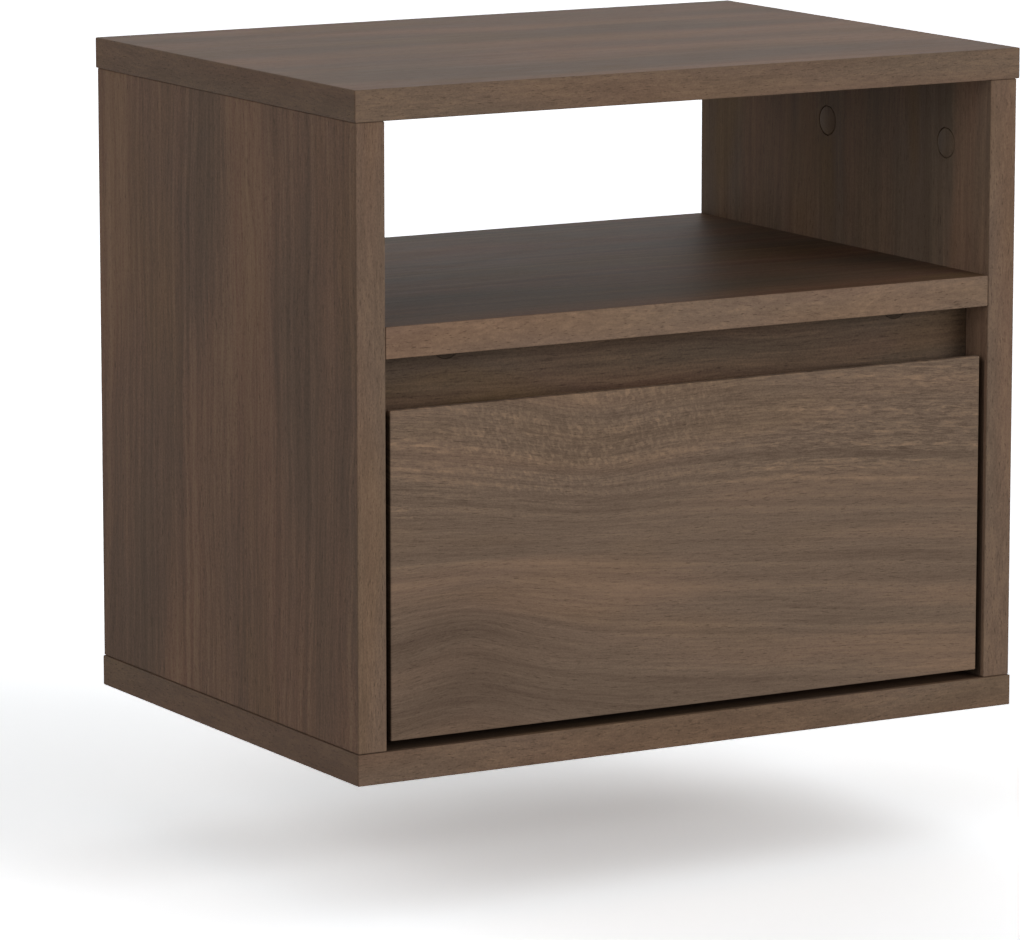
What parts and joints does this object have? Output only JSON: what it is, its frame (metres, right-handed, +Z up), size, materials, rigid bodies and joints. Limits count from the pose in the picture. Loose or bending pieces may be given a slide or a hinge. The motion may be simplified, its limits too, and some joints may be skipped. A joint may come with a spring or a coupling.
{
  "type": "floating nightstand",
  "caption": "Wall-hung nightstand with an open see-through cubby over a handle-less inset drawer on telescopic ball-bearing slides.",
  "frame": {"origin": "middle of the wall rail's back face, which lies flat on the wall", "axes": "+X to the right seen from the front, +Y back into the wall, +Z up; the drawer opens along -Y"},
  "size_m": [0.44, 0.32, 0.39],
  "materials": {
    "walnut": "brown stained walnut veneer, satin lacquer",
    "box_wood": "clear lacquered light plywood",
    "back_board": "brown faced hardboard",
    "dowel_wood": "bare beech",
    "slide_steel": "zinc plated, satin",
    "cage_steel": "zinc plated cage with bright steel balls",
    "zinc_steel": "bright zinc plated",
    "cast_zinc": "die-cast zinc",
    "cover_plastic": "brown cover cap, wood coloured"
  },
  "bodies": {
    "cabinet": {"top_panel": "walnut", "bottom_panel": "walnut", "left_side_panel": "walnut", "right_side_panel": "walnut", "shelf": "walnut", "front_rail": "walnut", "wall_rail": "walnut", "back_board": "back_board", "cam_top_left_front": "cast_zinc", "cam_top_left_back": "cast_zinc", "cam_top_right_front": "cast_zinc", "cam_top_right_back": "cast_zinc", "cam_bottom_left_front": "cast_zinc", "cam_bottom_left_back": "cast_zinc", "cam_bottom_right_front": "cast_zinc", "cam_bottom_right_back": "cast_zinc", "bolt_top_left_front": "zinc_steel", "bolt_top_left_back": "zinc_steel", "bolt_top_right_front": "zinc_steel", "bolt_top_right_back": "zinc_steel", "bolt_bottom_left_front": "zinc_steel", "bolt_bottom_left_back": "zinc_steel", "bolt_bottom_right_front": "zinc_steel", "bolt_bottom_right_back": "zinc_steel", "cover_top_left_front": "cover_plastic", "cover_top_left_back": "cover_plastic", "cover_top_right_front": "cover_plastic", "cover_top_right_back": "cover_plastic", "rail_cover_left": "cover_plastic", "rail_cover_right": "cover_plastic", "shelf_dowel_left_front": "dowel_wood", "shelf_dowel_left_back": "dowel_wood", "shelf_dowel_right_front": "dowel_wood", "shelf_dowel_right_back": "dowel_wood", "left_slide_cabinet_member": "slide_steel", "right_slide_cabinet_member": "slide_steel", "left_slide_screw_front": "zinc_steel", "left_slide_screw_back": "zinc_steel", "right_slide_screw_front": "zinc_steel", "right_slide_screw_back": "zinc_steel"},
    "slide_outer_cages": {"left_slide_outer_cage": "cage_steel", "right_slide_outer_cage": "cage_steel"},
    "slide_middles": {"left_slide_middle_member": "slide_steel", "right_slide_middle_member": "slide_steel"},
    "slide_inner_cages": {"left_slide_inner_cage": "cage_steel", "right_slide_inner_cage": "cage_steel"},
    "drawer": {"drawer_front": "walnut", "drawer_inner_front": "box_wood", "drawer_left_side": "box_wood", "drawer_right_side": "box_wood", "drawer_back": "box_wood", "drawer_floor": "box_wood", "front_screw_left": "zinc_steel", "front_screw_right": "zinc_steel", "left_slide_drawer_member": "slide_steel", "right_slide_drawer_member": "slide_steel", "left_drawer_screw_front": "zinc_steel", "left_drawer_screw_back": "zinc_steel", "right_drawer_screw_front": "zinc_steel", "right_drawer_screw_back": "zinc_steel"}
  },
  "joints": [
    {"name": "drawer_slide", "type": "slide", "parent": "cabinet", "child": "drawer", "axis": [0, -1, 0], "range_m": [0, 0.25]},
    {"name": "slide_middles_slide", "type": "slide", "parent": "cabinet", "child": "slide_middles", "axis": [0, -1, 0], "range_m": [0, 0.125]},
    {"name": "outer_cages_slide", "type": "slide", "parent": "cabinet", "child": "slide_outer_cages", "axis": [0, -1, 0], "range_m": [0, 0.0625]},
    {"name": "inner_cages_slide", "type": "slide", "parent": "cabinet", "child": "slide_inner_cages", "axis": [0, -1, 0], "range_m": [0, 0.1875]}
  ],
  "couplings": [
    {"joint": "slide_middles_slide", "follows": "drawer_slide", "ratio": 0.5},
    {"joint": "outer_cages_slide", "follows": "drawer_slide", "ratio": 0.25},
    {"joint": "inner_cages_slide", "follows": "drawer_slide", "ratio": 0.75}
  ]
}
